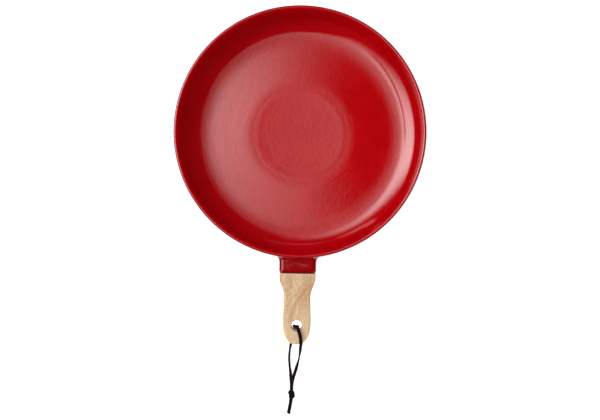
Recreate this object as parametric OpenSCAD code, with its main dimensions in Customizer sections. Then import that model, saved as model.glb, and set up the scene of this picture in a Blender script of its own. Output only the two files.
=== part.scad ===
// Enamelled cast iron skillet with a wooden handle and a leather hanging thong, in millimetres.
// The origin is the centre of the base, on the surface that the skillet stands on.
// +Z is up, and the handle runs along -Y.

/* [Pan] */
// Outside diameter of the rim
rim_d = 260; // [250:5:300]
// Height of the rim above the standing surface
pan_h = 45; // [43:1:50]
// Thickness of the cast wall
wall_t = 4; // [3:0.5:5]
// Lean of the wall from the vertical, in degrees
wall_lean = 4; // [2:1:10]
// Height of the cooking surface above the standing surface
floor_z = 5.5; // [5:0.5:8]
// Inside radius between the floor and the wall
corner_r = 19; // [12:1:20]
// Width of the foot ring
foot_w = 9; // [5:1:15]
// Height of the foot ring
foot_h = 1.2; // [0.8:0.1:2]
// Diameter of the low crown that rings the middle of the floor
crown_d = 112; // [80:1:140]
// Height of the crown above the floor's middle and edge
crown_h = 0.6; // [0.2:0.1:1]

/* [Handle stub] */
// How far the cast stub reaches past the rim
stub_len = 16; // [12:1:24]
// Width of the cast stub
stub_w = 38; // [38:0.5:42]
// Height of the stub's top above the standing surface
stub_top = 40.5; // [40.5:0.5:41.5]
// Thickness of the stub
stub_t = 19.5; // [19:0.5:22]
// Radius along the stub's edges
stub_edge_r = 4; // [2:0.5:6]

/* [Wooden handle] */
// Length of the wooden handle
handle_len = 72.6; // [70:0.2:80]
// Width of the handle where it meets the stub
heel_w = 37.4; // [34:0.2:38]
// Width of the handle at its waist
waist_w = 27.3; // [25:0.1:30]
// Widest part of the handle's rounded end
bulb_w = 29; // [27:0.2:32]
// Height of the handle's top face above the standing surface
handle_top = 40; // [40:0.5:41]
// Thickness of the handle
handle_t = 18.5; // [18:0.5:20]
// Radius along the handle's edges
handle_edge_r = 2.5; // [2:0.5:6]
// Diameter of the hanging hole
hole_d = 11; // [10.5:0.5:12]
// Distance from the hanging hole's centre to the handle's end
hole_inset = 19.1; // [18:0.1:20]

/* [Tang and screws] */
// Width of the cast tang inside the handle
tang_w = 16; // [12:1:18]
// Thickness of the tang
tang_t = 6; // [5:0.5:7]
// Length of the tang past the stub
tang_len = 38; // [34:1:40]
// Gap between the tang and its mortise, on each side
tang_gap = 0.3; // [0.2:0.1:0.5]
// Diameter of the tapped holes in the tang
tap_d = 4; // [4:0.5:5]
// Distance of the inner screw from the stub
inner_screw_s = 10; // [8:1:12]
// Distance of the outer screw from the stub
outer_screw_s = 28; // [24:1:30]

/* [Thong] */
// Width of the leather lace
lace_w = 3; // [2.5:0.1:3]
// Thickness of the leather lace
lace_t = 1.6; // [1.2:0.1:1.6]
// Radius of the knot
knot_r = 3.2; // [3:0.1:3.4]

/* [Hidden] */

$fn = 96;
ARC_STEPS = 12;          // straight steps along a round stretch of the pan's outline
FLOOR_STEPS = 6;         // straight steps along each side of the floor's crown
LOOP_STEPS = 14;         // steps along one side of the handle, before its rounded end
END_STEPS = 7;           // steps round half of the handle's end
EDGE_STEPS = 3;          // steps round an edge of the handle
TUBE_SIDES = 8;

// Pan: the wall's middle line runs down from the centre of the rounded lip.
rim_r = rim_d / 2;
lip = [rim_r - wall_t / 2, pan_h - wall_t / 2];
outer_corner_r = corner_r + wall_t / 2;
inner_flat_r = fillet_centre_r(floor_z + corner_r, corner_r + wall_t / 2);
outer_flat_r = fillet_centre_r(foot_h + outer_corner_r, outer_corner_r - wall_t / 2);
foot_r = outer_flat_r - 4;
foot_draft = 1;

// Handle: distances named s run from the stub's end face, towards the handle's end.
joint_y = -(rim_r + stub_len);
hole_y = joint_y - handle_len + hole_inset;
handle_bottom = handle_top - handle_t;
handle_mid = handle_top - handle_t / 2;
heel_s = 1;
waist_s = 23.5;
bulb_s = 49;
END_POWER = 2.4;         // 2 would make the end an ellipse, and more is squarer

// Screws: countersunk heads, sunk a little below the handle's underside.
screw_gap = 0.05;
head_d = 7.6;
head_sink = 0.4;
head_h = (head_d - tap_d) / 2;
screw_top = handle_mid + tang_t / 2 - 0.4;
drive_w = 1;
drive_l = 4.4;
drive_depth = 1.1;

// Thong: the lace's centreline, from the middle of the hanging hole to the knot.
// x and y are measured from the hole's axis, and z from the standing surface.
FRONT_ROUTE = [
    [0.5, -1.5, 30.75], [0.5, -1.5, 34.5], [0.7, -1.8, 38], [1.3, -3, 41.2], [1.9, -5.5, 43.2],
    [2.5, -9, 43.7], [3.1, -12.5, 43.1], [3.7, -16, 42.1], [4.1, -19.5, 40.3], [4.1, -23, 37.3],
    [4, -26.5, 33.2], [3.7, -30, 28.2], [3.3, -33.5, 22.8], [2.7, -37.5, 17.6], [1.7, -42.5, 13],
    [0.4, -48, 9.4], [-1.2, -54, 7], [-2.9, -60, 5.6], [-4, -66, 5], [-4.4, -73.5, 4.8]];
BACK_ROUTE = [
    [0.5, -1.5, 30.75], [0.5, -1.5, 27], [0.3, -1.7, 23.4], [-0.2, -2.7, 19.8], [-0.8, -4.7, 16.4],
    [-1.6, -7.8, 13.4], [-2.6, -11.5, 10.8], [-3.7, -15.5, 8.4], [-4.9, -20, 6.4], [-6, -24.5, 4.7],
    [-6.8, -29.5, 3.3], [-7.3, -34.5, 2.3], [-7.4, -39.5, 1.8], [-7, -45, 1.6], [-6.3, -50.5, 1.6],
    [-5.6, -56, 1.6], [-5, -61.5, 1.6], [-4.6, -67.5, 1.6], [-4.4, -73.5, 1.6]];
KNOT_START = [-4.2, -75.9, 3.2];
KNOT_END = [-4.4, -78.5, 3.2];
// The middle line of the two tails, which lie side by side on their edges.
TAIL_ROUTE = [[-4.6, -80.5, 1.6], [-5.1, -85, 1.6], [-5.8, -90, 1.6], [-6.5, -94.5, 1.6],
              [-7.1, -98.5, 1.6]];
TAIL_GAP = 0.2;
KNOT_FN = 24;

// Radius of a corner's centre at height z, set in from the wall's middle line by a distance.
function fillet_centre_r(z, set_in) = lip.x - (lip.y - z) * tan(wall_lean) - set_in / cos(wall_lean);

// A smooth step from a to b as t goes from 0 to 1.
function ease(a, b, t) = a + (b - a) * (1 - cos(180 * t)) / 2;

function arc(centre, r, from, to, steps = ARC_STEPS) =
    [for (i = [0 : steps]) let (a = from + (to - from) * i / steps) centre + r * [cos(a), sin(a)]];

// The floor's top, from its edge up over the crown and down to its middle.
function floor_line(crown_r = crown_d / 2, crown_z = floor_z + crown_h) = concat(
    [for (i = [1 : FLOOR_STEPS]) let (t = i / FLOOR_STEPS)
        [inner_flat_r + (crown_r - inner_flat_r) * t, ease(floor_z, crown_z, t)]],
    [for (i = [1 : FLOOR_STEPS]) let (t = i / FLOOR_STEPS)
        [crown_r * (1 - t), ease(crown_z, floor_z, t)]]);

function pan_section() = concat(
    [[0, foot_h], [foot_r - foot_w, foot_h], [foot_r - foot_w + foot_draft, 0],
     [foot_r - foot_draft, 0], [foot_r, foot_h]],
    arc([outer_flat_r, foot_h + outer_corner_r], outer_corner_r, -90, -wall_lean),
    arc(lip, wall_t / 2, -wall_lean, 180 - wall_lean),
    arc([inner_flat_r, floor_z + corner_r], corner_r, -wall_lean, -90),
    floor_line());

module dish() {
    rotate_extrude() polygon(pan_section());
}

// A bar along -Y with rounded edges, from y = from_y to y = to_y.
module rounded_bar(w, t, top, edge_r, from_y, to_y) {
    translate([0, from_y, top - t / 2]) rotate([90, 0, 0]) linear_extrude(from_y - to_y) {
        square([w - 2 * edge_r, t], center = true);
        square([w, t - 2 * edge_r], center = true);
        for (x = [-1, 1], z = [-1, 1])
            translate([x * (w / 2 - edge_r), z * (t / 2 - edge_r)]) circle(edge_r);
    }
}

// The stub starts inside the wall, at its middle line, so it never shows in the dish.
module stub() {
    slope = tan(wall_lean);
    difference() {
        rounded_bar(stub_w, stub_t, stub_top, stub_edge_r, -inner_flat_r, joint_y);
        cylinder(h = pan_h, r1 = lip.x - lip.y * slope, r2 = lip.x + (pan_h - lip.y) * slope, $fn = 180);
    }
}

module tang() {
    difference() {
        translate([-tang_w / 2, joint_y - tang_len, handle_mid - tang_t / 2])
            cube([tang_w, tang_len + 1, tang_t]);
        for (s = [inner_screw_s, outer_screw_s])
            translate([0, joint_y - s, handle_mid - tang_t]) cylinder(h = 2 * tang_t, d = tap_d);
    }
}

// Pan: dish, foot ring, stub and hidden tang are one casting.
module pan() {
    color([0.62, 0.03, 0.05]) union() {
        dish();
        stub();
        tang();
    }
}

// Half the handle's width at a distance s from the stub, up to the start of its rounded end.
function half_width(s) =
    s < heel_s ? heel_w / 2
    : s < waist_s ? ease(heel_w, waist_w, (s - heel_s) / (waist_s - heel_s)) / 2
    : ease(waist_w, bulb_w, (s - waist_s) / (bulb_s - waist_s)) / 2;

// One side of the handle's outline, set in by a distance, as [half width, s].
function handle_side(inset) = concat(
    [for (i = [0 : LOOP_STEPS]) let (s = bulb_s * i / LOOP_STEPS) [half_width(s) - inset, s]],
    [for (i = [1 : END_STEPS]) let (a = 90 * i / END_STEPS, p = 2 / END_POWER)
        [(bulb_w / 2 - inset) * pow(cos(a), p),
         bulb_s + (handle_len - bulb_s - inset) * pow(sin(a), p)]]);

function handle_loop(inset, z) = let (side = handle_side(inset), last = len(side) - 1) concat(
    [for (p = side) [p.x, joint_y - p.y, z]],
    [for (i = [last - 1 : -1 : 0]) [-side[i].x, joint_y - side[i].y, z]]);

// Loops of points from the bottom face to the top face, with both edges rounded.
function handle_loops() = concat(
    [for (i = [0 : EDGE_STEPS]) let (a = 90 * i / EDGE_STEPS)
        handle_loop(handle_edge_r * (1 - sin(a)), handle_bottom + handle_edge_r * (1 - cos(a)))],
    [for (i = [EDGE_STEPS : -1 : 0]) let (a = 90 * i / EDGE_STEPS)
        handle_loop(handle_edge_r * (1 - sin(a)), handle_top - handle_edge_r * (1 - cos(a)))]);

// A closed solid through a stack of loops that have the same number of points.
module skin(loops) {
    count = len(loops[0]);
    points = [for (ring = loops, p = ring) p];
    sides = [for (k = [0 : len(loops) - 2], i = [0 : count - 1])
        let (a = k * count + i, b = k * count + (i + 1) % count)
        each [[a, b, b + count], [a, b + count, a + count]]];
    first = [for (i = [count - 1 : -1 : 0]) i];
    last = [for (i = [0 : count - 1]) (len(loops) - 1) * count + i];
    polyhedron(points, concat(sides, [first], [last]), convexity = 6);
}

module countersink() {
    translate([0, 0, handle_bottom - 1])
        cylinder(h = 1 + head_sink, d = head_d + 2 * screw_gap);
    translate([0, 0, handle_bottom + head_sink])
        cylinder(h = head_h, d1 = head_d + 2 * screw_gap, d2 = tap_d + 2 * screw_gap);
    translate([0, 0, handle_bottom]) cylinder(h = handle_t / 2, d = tap_d + 2 * screw_gap);
}

// Pocket in the handle's end that the tang slides into.
module mortise() {
    translate([-tang_w / 2 - tang_gap, joint_y - tang_len - tang_gap, handle_mid - tang_t / 2 - tang_gap])
        cube([tang_w + 2 * tang_gap, tang_len + tang_gap + 1, tang_t + 2 * tang_gap]);
}

// Wooden handle: a waisted paddle with a mortise for the tang and a hanging hole.
module handle() {
    color([0.87, 0.72, 0.53]) difference() {
        skin(handle_loops());
        mortise();
        translate([0, hole_y, handle_bottom - 1]) cylinder(h = handle_t + 2, d = hole_d);
        for (s = [inner_screw_s, outer_screw_s])
            translate([0, joint_y - s, 0]) countersink();
    }
}

// Countersunk machine screw with a cross recess, driven up from the handle's underside.
module screw(s) {
    head_z = handle_bottom + head_sink;
    color([0.66, 0.67, 0.68]) translate([0, joint_y - s, 0]) difference() {
        union() {
            translate([0, 0, head_z]) cylinder(h = head_h, d1 = head_d, d2 = tap_d - 2 * screw_gap);
            translate([0, 0, head_z]) cylinder(h = screw_top - head_z, d = tap_d - 2 * screw_gap);
        }
        for (a = [0, 90])
            rotate(a) translate([-drive_l / 2, -drive_w / 2, head_z - 1])
                cube([drive_l, drive_w, drive_depth + 1]);
    }
}

function unit(v) = v / norm(v);

// Direction of a route at one of its points.
function heading(route, i) =
    i == 0 ? unit(route[1] - route[0])
    : i == len(route) - 1 ? unit(route[i] - route[i - 1])
    : unit(unit(route[i] - route[i - 1]) + unit(route[i + 1] - route[i]));

// Cross sections along a route, half_w to each side of it and half_h above and below.
function sweep(route, half_w, half_h) = [for (i = [0 : len(route) - 1])
    let (t = heading(route, i), side = unit([1, 0, 0] - t.x * t), up = cross(side, t))
    [for (k = [0 : TUBE_SIDES - 1]) let (a = 360 * (k + 0.5) / TUBE_SIDES)
        route[i] + half_w * cos(a) * side + half_h * sin(a) * up]];

module from_hole() {
    translate([0, hole_y, 0]) children();
}

module leather() {
    color([0.16, 0.09, 0.06]) children();
}

// Strand of the thong that lies over the handle's end.
module thong_front() {
    leather() from_hole() skin(sweep(FRONT_ROUTE, lace_w / 2, lace_w / 2));
}

// Strand of the thong that comes out under the handle.
module thong_back() {
    leather() from_hole() skin(sweep(BACK_ROUTE, lace_w / 2, lace_w / 2));
}

// Overhand knot that closes the thong, as its outer shape.
module thong_knot() {
    leather() from_hole() hull() {
        translate(KNOT_START) sphere(knot_r, $fn = KNOT_FN);
        translate(KNOT_END) sphere(knot_r, $fn = KNOT_FN);
    }
}

// The two ends of the lace beyond the knot.
module thong_tails() {
    offset_x = (lace_t + TAIL_GAP) / 2;
    leather() from_hole() for (side = [-1, 1])
        skin(sweep([for (p = TAIL_ROUTE) p + [side * offset_x, 0, 0]], lace_t / 2, lace_w / 2));
}

pan();
handle();
screw(inner_screw_s);  // handle_screw_inner
screw(outer_screw_s);  // handle_screw_outer
thong_front();
thong_back();
thong_knot();
thong_tails();
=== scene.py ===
import math

import bmesh
import bpy
import numpy as np
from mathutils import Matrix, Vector, noise


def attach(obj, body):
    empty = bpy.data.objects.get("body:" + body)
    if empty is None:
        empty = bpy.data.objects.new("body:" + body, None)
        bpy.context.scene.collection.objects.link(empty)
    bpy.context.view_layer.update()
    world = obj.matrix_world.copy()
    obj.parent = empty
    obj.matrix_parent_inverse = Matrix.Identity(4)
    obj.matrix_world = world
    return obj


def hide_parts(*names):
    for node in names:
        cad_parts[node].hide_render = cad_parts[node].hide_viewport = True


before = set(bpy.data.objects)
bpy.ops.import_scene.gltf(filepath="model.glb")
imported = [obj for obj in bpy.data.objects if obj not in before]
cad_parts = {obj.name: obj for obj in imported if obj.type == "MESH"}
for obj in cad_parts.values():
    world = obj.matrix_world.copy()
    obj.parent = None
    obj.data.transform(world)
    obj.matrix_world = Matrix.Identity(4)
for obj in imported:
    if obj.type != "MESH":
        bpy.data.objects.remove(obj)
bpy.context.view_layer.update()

# Enamelled cast iron skillet with a wooden handle and a leather hanging thong, on a pale table.
# Meshes are worked out in millimetres and made in metres, in the CAD frame: +Z up, handle along -Y.

MM = 0.001

# ---------------------------------------------------------------- camera

CAMERA_PLACE = (0.0014, -0.0803, 1.095)
CAMERA_ROLL = math.radians(1.0)
CAMERA_LENS = 61.5


def make_camera():
    """A camera straight above the skillet, looking down."""
    data = bpy.data.cameras.new("camera")
    data.lens = CAMERA_LENS
    data.sensor_width = 36
    camera = bpy.data.objects.new("camera", data)
    camera.location = CAMERA_PLACE
    camera.rotation_euler = (0, 0, CAMERA_ROLL)
    bpy.context.scene.collection.objects.link(camera)
    bpy.context.scene.camera = camera


# ---------------------------------------------------------------- numbers and lines

def ease(a, b, t):
    """A smooth step from a to b as t goes from 0 to 1."""
    t = min(max(t, 0), 1)
    return a + (b - a) * (1 - math.cos(math.pi * t)) / 2


def by_table(table, value):
    """A smooth value between the rows of a small table of (place, value)."""
    for (a, from_value), (b, to_value) in zip(table, table[1:]):
        if value <= b:
            return ease(from_value, to_value, (value - a) / (b - a))
    return table[-1][1]


def between(a, b, share):
    """The point at a share of the way from a to b."""
    return tuple(p * (1 - share) + q * share for p, q in zip(a, b))


def arc(centre, radius, start, end, steps):
    """Points of a round stretch in a plane, from one angle to another, in degrees."""
    angles = [math.radians(start + (end - start) * i / steps) for i in range(steps + 1)]
    return [(centre[0] + radius * math.cos(a), centre[1] + radius * math.sin(a)) for a in angles]


def smooth_line(points, per_gap):
    """A smooth line through given points (Catmull-Rom), with per_gap steps between each two."""
    p = [np.array(q, float) for q in points]
    p = [2 * p[0] - p[1]] + p + [2 * p[-1] - p[-2]]
    line = []
    for i in range(1, len(p) - 2):
        for k in range(per_gap):
            t = k / per_gap
            line.append(0.5 * (2 * p[i] + (p[i + 1] - p[i - 1]) * t
                               + (2 * p[i - 1] - 5 * p[i] + 4 * p[i + 1] - p[i + 2]) * t ** 2
                               + (3 * p[i] - p[i - 1] - 3 * p[i + 1] + p[i + 2]) * t ** 3))
    return np.array(line + [p[-2]])


def unit(v):
    return v / np.linalg.norm(v)


def heading(line, i):
    """The direction of a line at one of its points."""
    return unit(line[min(i + 1, len(line) - 1)] - line[max(i - 1, 0)])


def crosswise(t):
    """Two directions across t: one as near to +X as can be, and one at right angles to both."""
    side = unit(np.array([1.0, 0, 0]) - t[0] * t)
    return side, np.cross(side, t)


def lengths_along(line):
    """The distance of each point of a line from its start."""
    gaps = np.linalg.norm(np.diff(line, axis=0), axis=1)
    return np.concatenate([[0], np.cumsum(gaps)])


# ---------------------------------------------------------------- meshes

def make_piece(name, points, faces, material, crease=None):
    """A mesh object from points in millimetres. Edges sharper than crease degrees are shaded sharp."""
    mesh = bpy.data.meshes.new(name)
    mesh.from_pydata([[c * MM for c in p] for p in points], [], faces)
    mesh.update()
    mesh.shade_smooth()
    if crease:
        mesh.set_sharp_from_angle(angle=math.radians(crease))
    mesh.materials.append(material)
    piece = bpy.data.objects.new(name, mesh)
    bpy.context.scene.collection.objects.link(piece)
    return piece


def clean(piece, distance=0.00001):
    """Joins points that lie on each other, drops points without faces, and turns all faces outwards."""
    work = bmesh.new()
    work.from_mesh(piece.data)
    bmesh.ops.remove_doubles(work, verts=work.verts, dist=distance)
    unused = [v for v in work.verts if not v.link_faces]
    bmesh.ops.delete(work, geom=unused, context="VERTS")
    bmesh.ops.recalc_face_normals(work, faces=work.faces)
    work.to_mesh(piece.data)
    work.free()


def stack_faces(rings, count, first=0, turned=False):
    """Quads between rings of count points each, numbered from first on."""
    faces = []
    for k in range(rings - 1):
        for i in range(count):
            a = first + k * count + i
            b = first + k * count + (i + 1) % count
            quad = (a, b, b + count, a + count)
            faces.append(quad[::-1] if turned else quad)
    return faces


def join(shapes):
    """The points and faces of several shapes as those of one."""
    points, faces = [], []
    for new_points, new_faces in shapes:
        faces += [tuple(len(points) + v for v in face) for face in new_faces]
        points += new_points
    return points, faces


# ---------------------------------------------------------------- nodes of materials

class Nodes:
    """A short way to build a node tree."""

    def __init__(self, tree):
        tree.nodes.clear()
        self.tree = tree

    def add(self, kind, **inputs):
        """A node of that kind. An input is a value, or a socket of another node to link."""
        node = self.tree.nodes.new(kind)
        for key, value in inputs.items():
            place = int(key[1:]) if key[1:].isdigit() else key.replace("_", " ")
            if isinstance(value, bpy.types.NodeSocket):
                self.tree.links.new(value, node.inputs[place])
            else:
                node.inputs[place].default_value = value
        return node

    def math(self, operation, a, b=0.0, c=0.0):
        node = self.add("ShaderNodeMath", i0=a, i1=b, i2=c)
        node.operation = operation
        return node.outputs[0]

    def product(self, first, *others):
        """All the values multiplied together."""
        for other in others:
            first = self.math("MULTIPLY", first, other)
        return first

    def vector(self, operation, a, b=(0, 0, 0)):
        """What a vector sum gives: a number for LENGTH, and a vector for any other operation."""
        node = self.add("ShaderNodeVectorMath", i0=a, i1=b)
        node.operation = operation
        return node.outputs["Value" if operation == "LENGTH" else "Vector"]

    def split(self, vector):
        """The x, y and z of a vector."""
        return list(self.add("ShaderNodeSeparateXYZ", Vector=vector).outputs)

    def step(self, value, low, high, to_low=0.0, to_high=1.0):
        """A smooth step of a value from low to high."""
        node = self.add("ShaderNodeMapRange", Value=value)
        node.interpolation_type = "SMOOTHSTEP"
        for socket, number in zip(node.inputs[1:5], (low, high, to_low, to_high)):
            socket.default_value = number
        return node.outputs[0]

    def near(self, value, middle, inner, outer, height=1.0):
        """Height where a value is within inner of a middle one, and smoothly 0 from outer on."""
        away = self.math("ABSOLUTE", self.math("SUBTRACT", value, middle))
        return self.step(away, inner, outer, height, 0)

    def ramp(self, value, stops):
        """A colour or grey by value, from (place, colour) stops."""
        node = self.add("ShaderNodeValToRGB", Fac=value)
        elements = node.color_ramp.elements
        while len(elements) < len(stops):
            elements.new(0.5)
        for element, (place, colour) in zip(elements, stops):
            element.position = place
            element.color = (*colour, 1)
        return node.outputs[0]

    def roughness(self, value, low, high):
        """A roughness from low to high, as a noise goes from 0.3 to 0.7."""
        return self.ramp(value, [(0.3, (low,) * 3), (0.7, (high,) * 3)])

    def place(self, scale=(1, 1, 1), turn=(0, 0, 0)):
        """The object's own coordinates in metres, scaled and turned."""
        own = self.add("ShaderNodeTexCoord").outputs["Object"]
        return self.add("ShaderNodeMapping", Vector=own, Scale=scale, Rotation=turn).outputs[0]

    def noise(self, vector, scale, detail=3.0, rough=0.5, warp=0.0):
        node = self.add("ShaderNodeTexNoise", Vector=vector, Scale=scale, Detail=detail, Roughness=rough,
                        Distortion=warp)
        return node.outputs["Fac"]

    def mix(self, share, a, b):
        """A colour between a and b."""
        node = self.tree.nodes.new("ShaderNodeMix")
        node.data_type = "RGBA"
        node.clamp_result = False
        for index, value in ((0, share), (6, a), (7, b)):
            if isinstance(value, bpy.types.NodeSocket):
                self.tree.links.new(value, node.inputs[index])
            elif index == 0:
                node.inputs[index].default_value = value
            else:
                node.inputs[index].default_value = (*value, 1)
        return node.outputs[2]

    def bump(self, height, strength, distance, before=None):
        node = self.add("ShaderNodeBump", Height=height, Strength=strength, Distance=distance)
        if before:
            self.tree.links.new(before, node.inputs["Normal"])
        return node.outputs[0]

    def surface(self, **inputs):
        """A Principled shader as the tree's surface."""
        shader = self.add("ShaderNodeBsdfPrincipled", **inputs)
        self.add("ShaderNodeOutputMaterial", Surface=shader.outputs[0])


def new_material(name):
    material = bpy.data.materials.new(name)
    material.use_nodes = True
    return material, Nodes(material.node_tree)


# ---------------------------------------------------------------- enamel

# In metres: where the painted shade on the coat fades in, as (from, to), and the point that the wiping
# marks go round.
OUTSIDE_R = (0.1275, 0.1292)
STUB_FOOT_Y = (-0.1320, -0.1300)
STUB_SIDE_X = (0.0166, 0.0182)
STUB_FRONT_Y = (-0.1448, -0.1434)
WIPED_ROUND = (0.006, -0.004, 0)


def enamel_colour(n, here, outside):
    """Red with faint clouds and specks, darkened by painted shade round the outside and most of all on the
    stub's edges.
    """
    x, y, _ = n.split(here)
    red = n.ramp(n.noise(here, 28, 4, 0.55),
                 [(0.3, (0.475, 0.0007, 0.0034)), (0.7, (0.53, 0.0013, 0.0050))])
    red = n.mix(n.step(n.noise(here, 420, 2, 0.5), 0.52, 0.74, 0, 0.45), red, (0.36, 0.0006, 0.0018))
    # painted shade: the coat is darkened from the rim's outer half outwards, over the outer wall and the
    # stub
    red = n.mix(outside, red, (0.26, 0.0008, 0.002))
    # painted shade: darker still along the stub's sides and its front edge by the joint
    side_edges = n.step(n.math("ABSOLUTE", x), *STUB_SIDE_X)
    front_edge = n.step(y, *STUB_FRONT_Y, 1, 0)
    on_stub = n.product(outside, n.step(y, *STUB_FOOT_Y, 1, 0))
    painted_edge_shade = n.product(n.math("MAXIMUM", side_edges, front_edge), on_stub, 0.8)
    red = n.mix(painted_edge_shade, red, (0.11, 0.0006, 0.0015))
    return n.mix(n.step(n.noise(here, 900, 1, 0.4), 0.78, 0.82, 0, 0.5), red, (0.12, 0.002, 0.004))


def wiping_marks(n, flat, outside):
    """The height of faint arcs that a wiping cloth leaves inside the pan, round a point off its middle."""
    off = n.vector("SUBTRACT", flat, WIPED_ROUND)
    x, y, _ = n.split(off)
    spacing = n.math("MULTIPLY", n.vector("LENGTH", off), 260)
    around = n.math("MULTIPLY", n.math("ARCTAN2", y, x), 1.6)
    arcs = n.noise(n.add("ShaderNodeCombineXYZ", X=spacing, Y=around).outputs[0], 1.0, 3, 0.6)
    return n.product(arcs, n.math("SUBTRACT", 1, outside))


def enamel():
    """Glossy red enamel on cast iron, with faint orange peel and a wavy coat."""
    material, n = new_material("red_enamel")
    here = n.place()
    flat = n.vector("MULTIPLY", here, (1, 1, 0))
    # outside: where the painted shade darkens the coat, round the outside of the pan; the wiping marks are
    # kept off it too
    outside = n.step(n.vector("LENGTH", flat), *OUTSIDE_R, 0, 0.8)
    peel = n.bump(n.noise(here, 260, 3, 0.6), 0.14, 0.0004)
    wave = n.bump(n.noise(here, 22, 2, 0.5), 0.06, 0.0015, peel)
    wiped = n.bump(wiping_marks(n, flat, outside), 0.07, 0.0006, wave)
    gloss = n.roughness(n.noise(here, 60, 3, 0.6), 0.05, 0.09)
    n.surface(Base_Color=enamel_colour(n, here, outside), Roughness=gloss, Normal=wiped,
              IOR=1.5, Specular_IOR_Level=1.0)
    return material


# ---------------------------------------------------------------- wood

WOOD_DARK = (0.53, 0.325, 0.165)
WOOD_LIGHT = (0.86, 0.67, 0.46)
STREAK_COLOUR = (0.52, 0.25, 0.105)
SPECK_COLOUR = (0.12, 0.055, 0.025)
SPECK_PLACE = (-0.0103, -0.1792, 0)        # in metres, as are the streak's numbers


def wood_grain(n, grain, broad, flecks):
    """Pale wood's colour: broad bands, fine lengthwise grain, short dark flecks and a light mottle."""
    tone = n.ramp(broad,
                  [(0.3, (0.56, 0.36, 0.19)), (0.5, (0.70, 0.475, 0.27)), (0.7, (0.80, 0.58, 0.37))])
    tone = n.mix(n.step(grain, 0.45, 0.66, 0, 0.6), tone, WOOD_DARK)
    tone = n.mix(n.step(grain, 0.32, 0.45, 0.45, 0), tone, WOOD_LIGHT)
    tone = n.mix(n.step(flecks, 0.56, 0.70, 0, 0.55), tone, (0.40, 0.23, 0.11))
    mottle = n.noise(n.place(scale=(1, 0.4, 1)), 620, 2, 0.7)
    tone = n.mix(n.step(mottle, 0.52, 0.68, 0, 0.45), tone, (0.44, 0.26, 0.13))
    return n.mix(n.step(mottle, 0.30, 0.46, 0.5, 0), tone, (0.92, 0.72, 0.50))


def wood_streak(n, x, y, bend):
    """How strong the slanting darker streak is, and the fainter one beside it."""
    along = n.math("ADD", y, 0.175)
    bow = n.math("ADD", n.product(along, 0.55), n.product(along, along, 15))
    away = n.math("ABSOLUTE", n.math("ADD", n.math("SUBTRACT", x, bow), 0.0005))
    away = n.math("ADD", away, n.product(n.math("SUBTRACT", bend, 0.5), 0.004))
    streak = n.math("ADD", n.step(away, 0.0, 0.0036, 0.6, 0), n.near(away, 0.0062, 0.0, 0.0022, 0.25))
    return n.product(streak, n.near(y, -0.176, 0.014, 0.028))


def beech():
    """Pale close-grained wood, oiled, with one slanting darker streak and a dark speck."""
    material, n = new_material("handle_wood")
    here = n.place()
    x, y, _ = n.split(here)
    bend = n.noise(n.place(scale=(1, 0.25, 1)), 60, 3, 0.5)
    sway = n.add("ShaderNodeCombineXYZ", X=n.product(n.math("SUBTRACT", bend, 0.5), 0.006)).outputs[0]
    bent = n.add("ShaderNodeMapping", Vector=n.vector("ADD", here, sway), Scale=(1, 0.045, 1),
                 Rotation=(0, 0, -0.03)).outputs[0]
    grain = n.noise(bent, 420, 4, 0.6)
    broad = n.noise(bent, 110, 3, 0.5, 0.4)
    flecks = n.noise(n.place(scale=(1, 0.12, 1), turn=(0, 0, 0.05)), 1500, 2, 0.6)
    tone = wood_grain(n, grain, broad, flecks)
    tone = n.mix(n.step(y, -0.195, -0.165, 0.3, 0), tone, (0.92, 0.69, 0.47))
    tone = n.mix(wood_streak(n, x, y, bend), tone, STREAK_COLOUR)
    from_speck = n.vector("SUBTRACT", here, SPECK_PLACE)
    from_speck = n.vector("LENGTH", n.vector("MULTIPLY", from_speck, (1, 0.6, 0)))
    tone = n.mix(n.step(from_speck, 0.0002, 0.0007, 0.75, 0), tone, SPECK_COLOUR)
    # painted highlight: a light pinkish line along the heel's sharp edge at the stub, as if it reflected
    # the enamel
    tone = n.mix(n.step(y, -0.1470, -0.1464, 0, 0.6), tone, (0.95, 0.66, 0.55))
    ridges = n.bump(grain, 0.25, 0.0003, n.bump(flecks, 0.25, 0.0002))
    n.surface(Base_Color=tone, Roughness=n.roughness(grain, 0.48, 0.62), Normal=ridges,
              IOR=1.45, Specular_IOR_Level=0.35)
    return material


# ---------------------------------------------------------------- leather, steel and the table

def leather():
    """Dark brown waxed leather: fine grain, worn reddish patches and lengthwise creases."""
    material, n = new_material("thong_leather")
    here = n.place()
    grain = n.noise(here, 1600, 3, 0.6)
    patch = n.noise(here, 330, 3, 0.6)
    crease = n.noise(n.place(scale=(1, 0.1, 1)), 1900, 2, 0.5)
    tone = n.ramp(patch, [(0.35, (0.004, 0.0022, 0.002)), (0.55, (0.009, 0.004, 0.003)),
                          (0.8, (0.03, 0.011, 0.007))])
    tone = n.mix(n.step(crease, 0.58, 0.72, 0, 0.4), tone, (0.042, 0.016, 0.010))
    deep = n.bump(crease, 0.6, 0.0002, n.bump(grain, 0.5, 0.00012))
    n.surface(Base_Color=tone, Roughness=n.roughness(grain, 0.46, 0.72), Normal=deep,
              IOR=1.4, Specular_IOR_Level=0.1)
    return material


def steel():
    """Bright turned steel of the screws, with fine rings and a little tarnish."""
    material, n = new_material("screw_steel")
    here = n.place()
    tone = n.ramp(n.noise(here, 700, 4, 0.6), [(0.35, (0.42, 0.43, 0.45)), (0.7, (0.62, 0.62, 0.63))])
    rings = n.bump(n.noise(here, 3500, 1, 0.5), 0.2, 0.0001)
    n.surface(Base_Color=tone, Metallic=1.0, Roughness=n.roughness(n.noise(here, 2500, 2, 0.5), 0.22, 0.42),
              Normal=rings)
    return material


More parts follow.
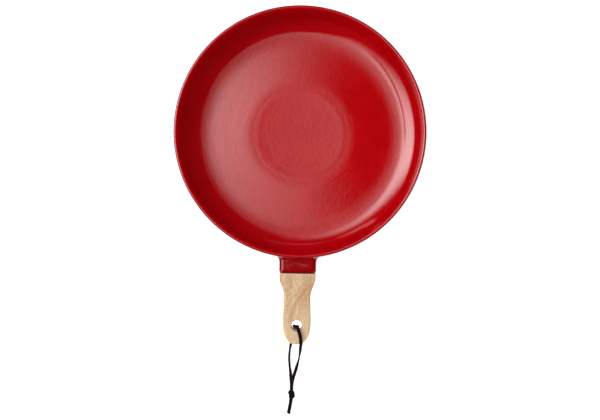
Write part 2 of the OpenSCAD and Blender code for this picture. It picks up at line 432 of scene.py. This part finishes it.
def table_paper():
    """Smooth white table, lit a little from beneath as a light table is."""
    material, n = new_material("table")
    tone = n.ramp(n.noise(n.place(), 3, 2, 0.5), [(0.3, (0.80, 0.80, 0.80)), (0.7, (0.83, 0.83, 0.83))])
    n.surface(Base_Color=tone, Roughness=0.7, Emission_Color=(1, 1, 1, 1), Emission_Strength=0.7,
              Specular_IOR_Level=0.1)
    return material


# ---------------------------------------------------------------- thong

HOLE_Y = -199.5
HOLE_R = 5.5
LACE_HALF_W = 1.7
LACE_HALF_T = 0.95
LACE_SIDES = 16
BUNCHED = 0.3             # how much wider and thicker a strand is in the hole, as a share
BUNCH_LEN = 8             # how far from its start that fades
KNOT_HALF_W, KNOT_HALF_T = 1.05, 0.78      # the lace is narrower where it is pulled tight
KNOT_HALF_GAP = 0.72       # from the middle of the doubled lace to the middle of each strip
TAIL_HALF_GAP = 0.82
# The CAD's own routes, in metres. x and y are measured from the hole's axis, and z from the table.
FRONT_ROUTE = [
    (0.0005, -0.0015, 0.03075), (0.0005, -0.0015, 0.0345), (0.0007, -0.0018, 0.038),
    (0.0013, -0.003, 0.0412), (0.0019, -0.0055, 0.0432), (0.0025, -0.009, 0.0437),
    (0.0031, -0.0125, 0.0431), (0.0037, -0.016, 0.0421), (0.0041, -0.0195, 0.0403),
    (0.0041, -0.023, 0.0373), (0.004, -0.0265, 0.0332), (0.0037, -0.03, 0.0282),
    (0.0033, -0.0335, 0.0228), (0.0027, -0.0375, 0.0176), (0.0017, -0.0425, 0.013),
    (0.0004, -0.048, 0.0094), (-0.0012, -0.054, 0.007), (-0.0029, -0.06, 0.0056),
    (-0.004, -0.066, 0.005), (-0.0044, -0.0735, 0.0048)]
BACK_ROUTE = [
    (0.0005, -0.0015, 0.03075), (0.0005, -0.0015, 0.027), (0.0003, -0.0017, 0.0234),
    (-0.0002, -0.0027, 0.0198), (-0.0008, -0.0047, 0.0164), (-0.0016, -0.0078, 0.0134),
    (-0.0026, -0.0115, 0.0108), (-0.0037, -0.0155, 0.0084), (-0.0049, -0.02, 0.0064),
    (-0.006, -0.0245, 0.0047), (-0.0068, -0.0295, 0.0033), (-0.0073, -0.0345, 0.0023),
    (-0.0074, -0.0395, 0.0018), (-0.007, -0.045, 0.0016), (-0.0063, -0.0505, 0.0016),
    (-0.0056, -0.056, 0.0016), (-0.005, -0.0615, 0.0016), (-0.0046, -0.0675, 0.0016),
    (-0.0044, -0.0735, 0.0016)]
TAIL_ROUTE = [
    (-0.0044, -0.0785, 0.0024), (-0.0046, -0.0805, 0.0019), (-0.0051, -0.085, 0.0016),
    (-0.0058, -0.09, 0.0016), (-0.0065, -0.0945, 0.0016), (-0.0071, -0.0985, 0.0016)]
KNOT_CENTRE = (-4.3, -77.2, 3.2)
# How the doubled lace runs inside the knot, from its centre, in millimetres.
KNOT_ROUTE = [
    (0.1, 5.2, 0.3), (0.5, 3.6, 0.3), (1.6, 1.9, 0.9), (1.0, 0.2, 1.1), (-1.0, -1.0, 0.6),
    (-1.8, -2.2, -0.5), (-0.7, -3.2, -1.4), (1.3, -2.6, -1.6), (2.1, -0.8, -1.2), (1.4, 1.2, -1.4),
    (-0.5, 2.8, -1.0), (-2.2, 2.9, 0.3), (-2.0, 1.6, 1.6), (-0.2, 0.5, 2.0), (1.7, -0.8, 1.6),
    (2.3, -2.4, 0.5), (1.0, -3.6, -0.4), (-0.2, -4.8, -1.0)]
# Turn of each strand about its own line, in degrees, by distance from the hole along Y.
FRONT_TURN = [(0, 0), (12, 4), (22, 22), (38, 86), (50, 156), (62, 178), (74, 180)]
BACK_TURN = [(0, 0), (8, 5), (20, 22), (30, 72), (48, 70), (60, 20), (74, 0)]
# How far each strand sinks from the CAD tube's middle line to rest flat, in millimetres.
FRONT_SINK = [(0, 0), (4, 0.2), (9, 0.7), (19, 0.6), (28, 0), (45, 0.3), (56, 0.9), (66, 1.0), (74, 0.6)]
BACK_SINK = [(0, 0), (50, 0), (60, 0.4), (68, 0.3), (74, 0)]
# How far the back strand leans to the left inside the hole, in millimetres, by height.
BACK_LEAN = [(10, 0), (15, -0.6), (20, -2.2), (26, -2.8), (30.75, -0.8)]
# How far the front strand leans to the right on the handle, in millimetres, by distance from the
# hole along Y.
FRONT_LEAN = [(0, 0), (4, 0.3), (10, 1.0), (16, 0.9), (24, 0.2), (74, 0)]


def squared(c):
    """A sine or cosine pushed outwards, which squares up a round shape."""
    return math.copysign(abs(c) ** 0.62, c)


def lace_faces(line, half_w, half_t, turns, seed, bunched=0):
    """Points and quads of a flat strip along a line, with rounded edges and closed ends.

    turns holds its turn about the line at each point, in degrees."""
    away = lengths_along(line)
    points = []
    for i, p in enumerate(line):
        side, up = crosswise(heading(line, i))
        turned = math.radians(turns[i])
        wide = math.cos(turned) * side + math.sin(turned) * up
        thick = -math.sin(turned) * side + math.cos(turned) * up
        size = 1 + 0.05 * noise.noise(Vector((away[i] * 0.35, seed, 0)))
        size += bunched * math.exp(-(away[i] / BUNCH_LEN) ** 2)
        cup = 0.12 * noise.noise(Vector((away[i] * 0.15, seed, 5)))
        for k in range(LACE_SIDES):
            a = 2 * math.pi * (k + 0.5) / LACE_SIDES
            x = half_w * size * squared(math.cos(a))
            y = half_t * size * squared(math.sin(a)) + cup * (x / half_w) ** 2
            points.append(p + x * wide + y * thick)
    faces = stack_faces(len(line), LACE_SIDES, turned=True)
    faces.append(tuple(range(LACE_SIDES)))
    faces.append(tuple(range(len(points) - LACE_SIDES, len(points)))[::-1])
    return points, faces


def thong_piece(name, node, shape, material):
    """A piece of the thong in place of one CAD node."""
    piece = make_piece(name, *shape, material, 50)
    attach(piece, "thong")
    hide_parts(node)
    return piece


def route_line(route):
    """A smooth line along one of the CAD's routes, in millimetres."""
    return smooth_line([(x / MM, HOLE_Y + y / MM, z / MM) for x, y, z in route], 8)


def front_line():
    """The middle line of the front strand, over the handle's end."""
    line = route_line(FRONT_ROUTE)
    for p in line:
        p[0] += by_table(FRONT_LEAN, HOLE_Y - p[1])
        p[2] -= by_table(FRONT_SINK, HOLE_Y - p[1])
    return line


def back_line():
    """The middle line of the back strand, down through the hole and under the handle's end."""
    line = route_line(BACK_ROUTE)
    for p in line:
        p[0] += by_table(BACK_LEAN, max(p[2], BACK_LEAN[0][0]))
        p[2] -= by_table(BACK_SINK, HOLE_Y - p[1])
    return line


def make_strand(name, node, line, turn, seed, material):
    """A strand of the thong, with its path and its length, both in metres."""
    turns = [by_table(turn, HOLE_Y - p[1]) for p in line]
    shape = lace_faces(line, LACE_HALF_W, LACE_HALF_T, turns, seed, BUNCHED)
    piece = thong_piece(name, node, shape, material)
    return piece, [[c * MM for c in p] for p in line[::4]], lengths_along(line)[-1] * MM


def make_knot(material):
    """The doubled lace, wrapped through itself and pulled tight."""
    centre = np.array([KNOT_CENTRE[0], HOLE_Y + KNOT_CENTRE[1], KNOT_CENTRE[2]])
    middle = smooth_line(KNOT_ROUTE, 7)
    turns, besides = [], []
    for i, p in enumerate(middle):
        t = heading(middle, i)
        out = unit(p * (1, 0.3, 1) + np.array([0, 0, 0.2]))
        out = unit(out - (out @ t) * t)
        side, up = crosswise(t)
        turns.append(math.atan2(out @ up, out @ side))
        besides.append(np.cross(t, out))
    turns = np.degrees(np.unwrap(turns))
    laces = []
    for offset in (-1, 1):
        line = centre + middle + offset * KNOT_HALF_GAP * np.array(besides)
        laces.append(lace_faces(line, KNOT_HALF_W, KNOT_HALF_T, turns, 7 + offset))
    return thong_piece("thong_knot_wraps", "thong_knot", join(laces), material)


def make_tails(material):
    """The lace's two cut ends, side by side on their edges, one a little shorter."""
    laces = []
    for offset, shorter in ((-1, 2), (1, 0)):
        line = route_line(TAIL_ROUTE)
        line = line[:len(line) - shorter]
        away = lengths_along(line)
        for i, p in enumerate(line):
            p[0] += offset * (TAIL_HALF_GAP + 0.25 * noise.noise(Vector((away[i] * 0.2, offset, 3))))
        turns = [90 + 8 * offset + 6 * math.sin(0.25 * s) for s in away]
        points, faces = lace_faces(line, LACE_HALF_W, LACE_HALF_T, turns, 20 + offset)
        for v in points[-LACE_SIDES:]:
            v[1] += 0.6 * noise.noise(Vector((v[0] * 1.3, v[2] * 1.3, offset * 9)))
        laces.append((points, faces))
    return thong_piece("thong_tail_ends", "thong_tails", join(laces), material)


def make_thong():
    """The knotted lace: its knot, its two ends, and its two strands."""
    material = leather()
    knot = make_knot(material)
    tails = make_tails(material)
    strands = [("thong_front_strand", "thong_front", front_line(), FRONT_TURN, 1, [knot, tails]),
               ("thong_back_strand", "thong_back", back_line(), BACK_TURN, 2, [knot])]
    for name, node, line, turn, seed, others in strands:
        piece, path, length = make_strand(name, node, line, turn, seed, material)


# ---------------------------------------------------------------- pan

RIM_R = 130
PAN_H = 45
WALL_T = 4
WALL_LEAN = 4
FLOOR_Z = 5.5
OUTER_CORNER_R = 21
FOOT_W = 9
FOOT_H = 1.2
STUB_W = 38
STUB_TOP = 40.5
STUB_T = 19.5
STUB_MID = STUB_TOP - STUB_T / 2
STUB_END_R = 3.2
STUB_SLOPE = 0.05          # how much the stub's top falls towards the joint
SINK_MARK = 0.09           # depth of the shallow hollow in the stub's top
JOINT_Y = -146
TANG_W, TANG_T, TANG_LEN = 16, 6, 38
HANDLE_MID = 30.75
PATCH_Z = (12, 42.7)       # the heights between which the wall opens into the stub
PATCH_ANGLE = 14.5         # how far it opens on each side of the handle's direction, in degrees
PATCH_COLUMNS, REST_COLUMNS = 50, 216
# The tilt of the cooking surface at each radius, in degrees, from its middle to the foot of the wall.
# Above 0 it rises outwards.
FLOOR_TILTS = [
    (0, 0), (38, 1.2), (43, 1.7),                               # the dished middle
    (45.5, 1.4), (47, 0.2), (49, 0.3), (51, 1.1), (53, 0.5),    # the crown, with a line on each side of it
    (60, -1.4), (68, -1.6), (90, -1.3),                         # the fall outside the crown
    (96, 0.4), (107, 5),                                        # the edge of the floor, turning up
    (119.5, 30.5), (121.2, 35),                                 # a cove of about 27 mm radius
    (122.2, 55), (123.4, 84)]                                   # the tight corner at the foot of the wall


def floor_line():
    """The cooking surface from the foot of its wall to its middle, by adding up its tilt."""
    places, tilts = zip(*FLOOR_TILTS)
    radii = np.concatenate([np.linspace(places[-1], 106, 50), np.linspace(106, 0, 72)[1:]])
    middles = (radii[1:] + radii[:-1]) / 2
    falls = np.tan(np.radians(np.interp(middles, places, tilts))) * np.diff(radii)
    heights = np.concatenate([[0], np.cumsum(falls)])
    return list(zip(radii, heights - heights.min() + FLOOR_Z))


def outer_corner():
    """Radius and height of the middle of the rounded outside corner, which meets the wall's outer face."""
    lean = math.radians(WALL_LEAN)
    z = FOOT_H + OUTER_CORNER_R
    wall_middle = RIM_R - WALL_T / 2 - (PAN_H - WALL_T / 2 - z) * math.tan(lean)
    return wall_middle - (OUTER_CORNER_R - WALL_T / 2) / math.cos(lean), z


def outer_r(z):
    """Radius of the pan's outer face at a height, over its rounded corner and its wall."""
    lean = math.radians(WALL_LEAN)
    middle, level = outer_corner()
    tangent = level - OUTER_CORNER_R * math.sin(lean)
    if z < tangent:
        return middle + math.sqrt(max(OUTER_CORNER_R ** 2 - (z - level) ** 2, 0))
    return middle + OUTER_CORNER_R * math.cos(lean) + (z - tangent) * math.tan(lean)


def on_wall(x, z):
    """The point of the wall's outer face, on the handle's side, at that x and height."""
    return x, -math.sqrt(outer_r(z) ** 2 - x * x), z


def pan_section():
    """The pan's section from the middle of its underside round the rim to the middle of its floor."""
    half = WALL_T / 2
    corner_middle = outer_corner()
    foot = corner_middle[0] - 4
    base = [(r, FOOT_H) for r in (0, foot - FOOT_W - 60, foot - FOOT_W - 20, foot - FOOT_W - 1)]
    base += arc((foot - FOOT_W + 1.4, 0.5), 0.5, -150, -90, 4)
    base += arc((foot - 1.4, 0.5), 0.5, -90, -30, 4)
    base += [(foot + 0.6, FOOT_H)]
    corner = arc(corner_middle, OUTER_CORNER_R, -90, -WALL_LEAN, 24)
    rim = arc((RIM_R - half, PAN_H - half), half, -WALL_LEAN, 180 - WALL_LEAN, 22)
    wall = [between(corner[-1], rim[0], i / 18) for i in range(1, 18)]
    floor = floor_line()
    down = [between(rim[-1], floor[0], i / 14) for i in range(1, 14)]
    return base + corner + wall + rim + down + floor


def stub_outline(inset):
    """The stub's outline about its middle, as (x, z): straight sides, flat bevels, flat top and bottom."""
    half_w, half_t = STUB_W / 2 - inset, STUB_T / 2 - inset
    quarter = [(half_w, 0.0)]
    quarter += arc((half_w - 0.8, half_t - 2.8), 0.8, 0, 50, 4)
    quarter += arc((half_w - 3.46, half_t - 1.5), 1.5, 50, 90, 8)
    quarter += [(0.0, half_t)]
    upper = quarter + [(-x, z) for x, z in quarter[::-1]][1:]
    return np.array(upper + [(x, -z) for x, z in upper[::-1]][1:-1])


def stub_loop(count_side, count_up, inset=0.0, grow=(0, 0, 0)):
    """Points round the stub's outline as (x, z), starting at its lower left, along the bottom first.

    grow moves them outwards by (side, top, bottom) amounts, to give the fillet's foot."""
    full = stub_outline(inset)
    closed = np.vstack([full, full[:1]])
    away = lengths_along(closed)
    corners = [np.array(c) for c in ((-1, -1), (1, -1), (1, 1), (-1, 1))]
    at = [away[np.argmax(full @ c - 0.001 * abs(full[:, 0]))] for c in corners]
    loop = []
    for start, end, count in zip(at, at[1:] + at[:1], (count_side, count_up, count_side, count_up)):
        for i in range(count):
            s = (start + (end - start) % away[-1] * i / count) % away[-1]
            loop.append([np.interp(s, away, closed[:, 0]), np.interp(s, away, closed[:, 1])])
    loop = np.array(loop)
    side, top, bottom = grow
    nx, nz = np.clip(loop / (np.array([STUB_W, STUB_T]) / 2 - inset), -1, 1).T
    loop += np.stack([side * nx ** 5, np.where(nz > 0, top, bottom) * nz ** 5], axis=1)
    return loop + (0, STUB_MID)


def cast_z(x, y, z):
    """Height of a point of the stub: its top slopes a little to the joint and has a shallow sink mark."""
    share = max(z - STUB_MID, 0) / STUB_T * 2
    mark = math.exp(-((x - 5) / 7) ** 2 - ((y + 135 + 0.25 * (x - 5)) / 2.4) ** 2)
    return z + share * ((y - JOINT_Y - STUB_END_R) * STUB_SLOPE - SINK_MARK * mark)


def fillet_rings(boundary, foot, contour):
    """Rings over the wall from the opening's edge to the fillet's foot, and rings of the fillet itself."""
    on_face = []
    for t in (0.3, 0.6, 0.85):
        flat = boundary[:, [0, 2]] * (1 - t) + foot * t
        on_face.append([on_wall(x, z) for x, z in flat])
    reach = np.linalg.norm(foot - contour, axis=1)
    curved = []
    for t in (i / 7 for i in range(8)):
        ring = []
        for at_foot, at_contour, out in zip(foot, contour, reach):
            start, corner = np.array(on_wall(*at_foot)), np.array(on_wall(*at_contour))
            end = corner - np.array([0, out, 0])
            ring.append(tuple((1 - t) ** 2 * start + 2 * t * (1 - t) * corner + t * t * end))
        curved.append(ring)
    return on_face, curved


def tang_box(loop):
    """The tang's outline with a point for each point of the stub's loop, as (x, z)."""
    box = []
    for x, z in loop:
        dx, dz = x * TANG_W / STUB_W, (z - STUB_MID) * TANG_T / STUB_T
        grow = min(TANG_W / 2 / max(abs(dx), 1e-6), TANG_T / 2 / max(abs(dz), 1e-6))
        box.append((dx * grow, dz * grow + HANDLE_MID))
    return box


def stub_rings(boundary, up):
    """Rings of points from the opening in the wall over the fillet, the stub and the tang to its end."""
    contour = stub_loop(PATCH_COLUMNS, up)
    foot = stub_loop(PATCH_COLUMNS, up, grow=(6.5, 1.7, 4.5))
    on_face, cast = fillet_rings(boundary, foot, contour)
    end_y = JOINT_Y + STUB_END_R
    last = cast[-1]
    for t in (i / 12 for i in range(1, 12)):
        cast.append([(x, y + (end_y - y) * t, z) for x, y, z in last])
    rings = on_face + [[(x, y, cast_z(x, y, z)) for x, y, z in ring] for ring in cast]
    for a in (math.radians(90 * i / 6) for i in range(7)):
        loop = stub_loop(PATCH_COLUMNS, up, inset=STUB_END_R * (1 - math.cos(a)))
        rings.append([(x, end_y - STUB_END_R * math.sin(a), z) for x, z in loop])
    box = tang_box(contour)
    at_joint = [(x, JOINT_Y, z) for x, z in box]
    rings.append([between(a, b, 0.3) for a, b in zip(rings[-1], at_joint)])
    tip_y = JOINT_Y - TANG_LEN
    return rings + [[(x, y, z) for x, z in box] for y in (JOINT_Y, JOINT_Y - 0.5, tip_y + 0.5, tip_y)]


def make_pan(material):
    """Dish, rim and foot ring turned as one, with the stub drawn out of the wall through a fillet."""
    section = pan_section()
    angles = [-90 - PATCH_ANGLE + 2 * PATCH_ANGLE * i / PATCH_COLUMNS for i in range(PATCH_COLUMNS)]
    angles += [-90 + PATCH_ANGLE + (360 - 2 * PATCH_ANGLE) * i / REST_COLUMNS for i in range(REST_COLUMNS)]
    count, rows = len(angles), len(section) - 2
    turned = [(math.cos(math.radians(a)), math.sin(math.radians(a))) for a in angles]
    points = [(0.0, 0.0, section[0][1])]
    points += [(r * c, r * s, z) for r, z in section[1:-1] for c, s in turned]
    points.append((0.0, 0.0, section[-1][1]))

    def number(row, column):
        return 1 + (row - 1) * count + column % count

    outside = [k for k, (r, z) in enumerate(section) if r > RIM_R - 8 and PATCH_Z[0] < z < PATCH_Z[1]]
    low = outside[0]
    high = next(k for k, after in zip(outside, outside[1:] + [-1]) if after != k + 1)
    faces = [(0, number(1, i + 1), number(1, i)) for i in range(count)]
    for row in range(1, rows):
        first_column = PATCH_COLUMNS if low <= row < high else 0
        faces += [(number(row, i), number(row, i + 1), number(row + 1, i + 1), number(row + 1, i))
                  for i in range(first_column, count)]
    faces += [(len(points) - 1, number(rows, i), number(rows, i + 1)) for i in range(count)]

    up = high - low
    edge = [number(low, i) for i in range(PATCH_COLUMNS)]
    edge += [number(low + k, PATCH_COLUMNS) for k in range(up)]
    edge += [number(high, PATCH_COLUMNS - i) for i in range(PATCH_COLUMNS)]
    edge += [number(high - k, 0) for k in range(up)]
    rings = stub_rings(np.array([points[v] for v in edge]), up)
    size, first = len(edge), len(points)
    for i in range(size):
        j = (i + 1) % size
        faces.append((edge[i], edge[j], first + j, first + i))
    for ring in rings:
        points += ring
    faces += stack_faces(len(rings), size, first)
    faces.append(tuple(range(len(points) - size, len(points))))
    pan = make_piece("skillet_pan", points, faces, material, 60)
    clean(pan)
    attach(pan, "skillet")
    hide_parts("pan")


# ---------------------------------------------------------------- handle

HANDLE_TOP = 40
HANDLE_T = 18.5
HANDLE_BOTTOM = HANDLE_TOP - HANDLE_T
HANDLE_LEN = 73
HEEL_W = 37.4
WAIST_W = 27.3
BULB_W = 29
HEEL_S, WAIST_S, BULB_S = 4, 23.5, 49      # distances from the stub of the heel, the waist and the bulb
END_POWER = 2.4            # how square the rounded end is; 2 is an ellipse
HANDLE_EDGE = 2.5
HOLE_EDGE = 1.3
HOLE_S = JOINT_Y - HOLE_Y
TANG_GAP = 0.3
SCREW_S = (10, 28)
HEAD_R = 3.85
SHANK_R = 2.05
HEAD_SINK = 0.4
SPLIT_S = 38               # where the flat faces change from a grid to rays round the hole
GRID_S = [0, 0.8] + [SPLIT_S * i / 26 for i in range(1, 27)]
TIP_S = [SPLIT_S + (BULB_S - SPLIT_S) * i / 7 for i in range(1, 8)]
END_STEPS = 20
COLUMNS = 24
RAY_STEPS = 9


def half_width(s):
    """Half the handle's width at a distance s from the stub, up to its rounded end."""
    if s < WAIST_S:
        return ease(HEEL_W, WAIST_W, (s - HEEL_S) / (WAIST_S - HEEL_S)) / 2
    return ease(WAIST_W, BULB_W, (s - WAIST_S) / (BULB_S - WAIST_S)) / 2


def handle_outline(inset):
    """The handle's outline, set in, as (x, s), from the heel's right corner round to its left one."""
    right = [(half_width(s) - inset, s) for s in GRID_S + TIP_S]
    p = 2 / END_POWER
    for i in range(1, END_STEPS + 1):
        a = math.radians(90 * i / END_STEPS)
        right.append(((BULB_W / 2 - inset) * max(math.cos(a), 0) ** p,
                      BULB_S + (HANDLE_LEN - BULB_S - inset) * math.sin(a) ** p))
    return right + [(-x, s) for x, s in right[::-1]][1:]


def levels(radius, steps, straight):
    """Insets and heights down a side of the handle: a rounded edge, a straight part, a rounded edge."""
    angles = [math.radians(90 * i / steps) for i in range(1, steps + 1)]
    rounding = [(radius * (1 - math.sin(a)), radius * (1 - math.cos(a))) for a in angles]
    return ([(inset, HANDLE_TOP - down) for inset, down in rounding] + [(0, z) for z in straight]
            + [(inset, HANDLE_BOTTOM + down) for inset, down in rounding[::-1]])


class Paddle:
    """The points and faces of the handle's outside, with x across it and s along it from the stub."""

    def __init__(self):
        self.points, self.faces = [], []

    def put(self, x, s, z):
        self.points.append((x, JOINT_Y - s, z))
        return len(self.points) - 1

    def line(self, a, b, steps):
        """A row of points at one height from a, which is a place (x, s, z), to the point numbered b."""
        x, y, _ = self.points[b]
        ends = [(a[0] + (x - a[0]) * k / steps, a[1] + (JOINT_Y - y - a[1]) * k / steps)
                for k in range(steps)]
        return [self.put(*end, a[2]) for end in ends] + [b]

    def across(self, a, b):
        """A row of points from one numbered point to another."""
        x, y, z = self.points[a]
        return [a] + self.line((x, JOINT_Y - y, z), b, COLUMNS)[1:]

    def sheet(self, rows, closed=False):
        """Quads between neighbouring rows, which may each be closed into a ring."""
        for one, two in zip(rows, rows[1:]):
            if closed:
                one, two = one + one[:1], two + two[:1]
            self.faces += [(one[k], one[k + 1], two[k + 1], two[k]) for k in range(len(one) - 1)]

    def flat_face(self, z):
        """A grid from the heel to the split, then rays round the hole.

        Gives the points of the face's outline and of the hole's."""
        rim = [self.put(x, s, z) for x, s in handle_outline(HANDLE_EDGE)]
        split = len(GRID_S) - 1
        rows = [self.across(rim[-1 - i], rim[i]) for i in range(split + 1)]
        self.sheet(rows)
        rays = []
        for v in rim[split:len(rim) - split] + rows[-1][1:-1]:
            x, y, _ = self.points[v]
            angle = math.atan2(JOINT_Y - y - HOLE_S, x)
            r = HOLE_R + HOLE_EDGE
            start = (r * math.cos(angle), HOLE_S + r * math.sin(angle), z)
            rays.append(self.line(start, v, RAY_STEPS))
        self.sheet(rays + rays[:1])
        return rim, [ray[0] for ray in rays]

    def side(self, top_rim, low_rim):
        """The handle's side, and the flat end of its heel."""
        around = [top_rim]
        for inset, z in levels(HANDLE_EDGE, 6, (35, 32, 29, 26)):
            around.append([self.put(x, s, z) for x, s in handle_outline(inset)])
        around.append(low_rim)
        self.sheet(around)
        self.sheet([self.across(loop[0], loop[-1]) for loop in around])

    def bore(self, top_hole, low_hole):
        """The wall of the hanging hole, with the angles that the rays have."""
        angles = []
        for v in top_hole:
            x, y, _ = self.points[v]
            angles.append(math.atan2(JOINT_Y - y - HOLE_S, x))
        rings = [top_hole]
        for inset, z in levels(HOLE_EDGE, 5, (36, 33, 30, 27)):
            r = HOLE_R + inset
            rings.append([self.put(r * math.cos(t), HOLE_S + r * math.sin(t), z) for t in angles])
        self.sheet(rings + [low_hole], closed=True)


def make_blank(material):
    """The handle without its mortise and screw holes."""
    paddle = Paddle()
    top_rim, top_hole = paddle.flat_face(HANDLE_TOP)
    low_rim, low_hole = paddle.flat_face(HANDLE_BOTTOM)
    paddle.side(top_rim, low_rim)
    paddle.bore(top_hole, low_hole)
    blank = make_piece("skillet_handle", paddle.points, paddle.faces, material)
    clean(blank)
    return blank


def cut(piece, points, faces):
    """Cuts a closed shape out of a piece, and leaves the shape out of the scene."""
    tool = make_piece("cutter", points, faces, piece.data.materials[0])
    clean(tool)
    change = piece.modifiers.new("cut", "BOOLEAN")
    change.operation = "DIFFERENCE"
    change.solver = "EXACT"
    change.object = tool
    bpy.context.view_layer.update()
    done = bpy.data.meshes.new_from_object(piece.evaluated_get(bpy.context.evaluated_depsgraph_get()))
    piece.modifiers.clear()
    piece.data = done
    bpy.data.objects.remove(tool)


def cut_mortise(handle):
    """The pocket that the tang slides into, with a little play on each side."""
    half_w, half_t = TANG_W / 2 + TANG_GAP, TANG_T / 2 + TANG_GAP
    points = []
    for y in (JOINT_Y + 1, JOINT_Y - TANG_LEN - TANG_GAP):
        points += [(x, y, HANDLE_MID + z) for x, z in
                   ((-half_w, -half_t), (half_w, -half_t), (half_w, half_t), (-half_w, half_t))]
    cut(handle, points, stack_faces(2, 4) + [(3, 2, 1, 0), (4, 5, 6, 7)])


def cut_screw_hole(handle, s):
    """A clearance hole with a countersink for the screw's head, up from the handle's underside."""
    head = HANDLE_BOTTOM + HEAD_SINK
    section = [(HEAD_R, HANDLE_BOTTOM - 1), (HEAD_R, head),
               (SHANK_R, head + HEAD_R - SHANK_R), (SHANK_R, HANDLE_MID)]
    sides = 40
    turned = [(math.cos(2 * math.pi * i / sides), math.sin(2 * math.pi * i / sides)) for i in range(sides)]
    points = [(r * c, JOINT_Y - s + r * t, z) for r, z in section for c, t in turned]
    faces = stack_faces(len(section), sides)
    faces += [tuple(range(sides))[::-1], tuple(range(len(points) - sides, len(points)))]
    cut(handle, points, faces)


def make_handle(material):
    """A waisted paddle of wood with a hanging hole, a mortise and two countersunk screw holes."""
    handle = make_blank(material)
    cut_mortise(handle)
    for s in SCREW_S:
        cut_screw_hole(handle, s)
    handle.data.shade_smooth()
    handle.data.set_sharp_from_angle(angle=math.radians(50))
    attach(handle, "skillet")
    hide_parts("handle")


def finish_screws():
    """The two CAD screws, in steel."""
    material = steel()
    for name in ("handle_screw_inner", "handle_screw_outer"):
        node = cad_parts[name]
        node.data.materials.clear()
        node.data.materials.append(material)


# ---------------------------------------------------------------- table and light

TABLE_HALF = 6             # in metres, as is the table's height
TABLE_Z = -0.0003
SIDE_LIGHT = 4.95
PANEL_LIGHT = 0.35
RAIL_LIGHT = 0.85
FAINT_LIGHT = 0.18
SOFT_SHARE = 0.74          # how much of the light counts for rays that aren't reflections
FILL_LIGHT = 0.56          # and how much even light is added for them
SEEN_GREY = 0.93           # what the camera sees past the table


def make_table():
    """A large flat sheet under the skillet."""
    corners = [(x * TABLE_HALF, y * TABLE_HALF, 0) for x, y in ((-1, -1), (1, -1), (1, 1), (-1, 1))]
    data = bpy.data.meshes.new("table")
    data.from_pydata(corners, [], [(0, 1, 2, 3)])
    data.materials.append(table_paper())
    table = bpy.data.objects.new("table", data)
    table.location.z = TABLE_Z
    bpy.context.scene.collection.objects.link(table)


def side_light(n, a, b):
    """The large light at the left, with a dimmer seam down it and a slanting lower right edge."""
    by_a = n.product(n.step(a, -72, -49), n.step(a, -20, 5.5, 1, 0), n.step(a, -45, -5, 1, 0.85))
    by_b = n.product(n.step(b, -36, 12), n.step(b, 12.5, 37, 1, 0))
    seam = n.product(n.near(a, -22.5, 1.5, 5.5, 0.75), n.step(b, -26, -15), n.step(b, 3, 7.5, 1, 0))
    slant = n.step(n.math("SUBTRACT", b, n.product(a, 1.3)), -8, -5)
    return n.product(by_a, by_b, n.math("SUBTRACT", 1, seam), slant, SIDE_LIGHT)


def overhead_panel(n, a, b):
    """A small dim panel nearly overhead."""
    return n.product(n.step(a, -7, 0), n.step(a, 1, 6, 1, 0),
                     n.step(b, -7, -5), n.step(b, -2, 6, 1, 0), PANEL_LIGHT)


def back_rails(n, a, b):
    """A bright strip at the back left, which bends down at its left end, and a faint one beside it."""
    bent = n.math("ADD", n.product(n.math("MAXIMUM", n.math("SUBTRACT", -30, a), 0), 0.8), 44.5)
    bright = n.product(n.near(n.math("SUBTRACT", b, bent), 0, 1.5, 6, 1),
                       n.step(a, -52, -36), n.step(a, -24, -12, 1, 0), RAIL_LIGHT)
    faint = n.product(n.near(b, 48, 1, 5, FAINT_LIGHT), n.step(a, -14, -6), n.step(a, 8, 16, 1, 0))
    return n.math("ADD", bright, faint)


def make_light():
    """Everything round the table: the large light at the left, a panel, rails, and an even fill."""
    world = bpy.data.worlds.new("studio")
    bpy.context.scene.world = world
    world.use_nodes = True
    n = Nodes(world.node_tree)
    way = n.add("ShaderNodeTexCoord").outputs["Generated"]
    x, y, z = n.add("ShaderNodeSeparateXYZ", Vector=way).outputs
    # degrees from straight up, split into left-right (a) and back-front (b)
    polar = n.product(n.math("ARCCOSINE", n.math("MINIMUM", z, 0.999999)), 180 / math.pi)
    flat = n.math("SQRT", n.math("ADD", n.product(x, x), n.product(y, y)))
    scale = n.math("DIVIDE", polar, n.math("MAXIMUM", flat, 1e-5))
    a, b = n.product(x, scale), n.product(y, scale)
    light = n.math("ADD", side_light(n, a, b), n.math("ADD", overhead_panel(n, a, b), back_rails(n, a, b)))

    path = n.add("ShaderNodeLightPath")
    shiny = path.outputs["Is Glossy Ray"]
    soft = n.math("ADD", n.product(light, SOFT_SHARE), FILL_LIGHT)
    light = n.math("ADD", n.product(light, shiny), n.product(soft, n.math("SUBTRACT", 1, shiny)))
    above = n.step(z, -0.02, 0.02)
    below = n.product(n.math("SUBTRACT", 1, above), FILL_LIGHT)
    light = n.math("ADD", n.product(light, above), below)
    lit = n.add("ShaderNodeBackground", Color=(1, 1, 1, 1), Strength=light)
    seen = n.add("ShaderNodeBackground", Color=(SEEN_GREY, SEEN_GREY, SEEN_GREY, 1), Strength=1.0)
    mixed = n.add("ShaderNodeMixShader", Fac=path.outputs["Is Camera Ray"])
    n.tree.links.new(lit.outputs[0], mixed.inputs[1])
    n.tree.links.new(seen.outputs[0], mixed.inputs[2])
    n.add("ShaderNodeOutputWorld", Surface=mixed.outputs[0])
    bpy.context.scene.view_settings.view_transform = "Standard"
    bpy.context.scene.view_settings.look = "None"


# ---------------------------------------------------------------- the scene

make_camera()
make_thong()
make_pan(enamel())
make_handle(beech())
finish_screws()
make_table()
make_light()
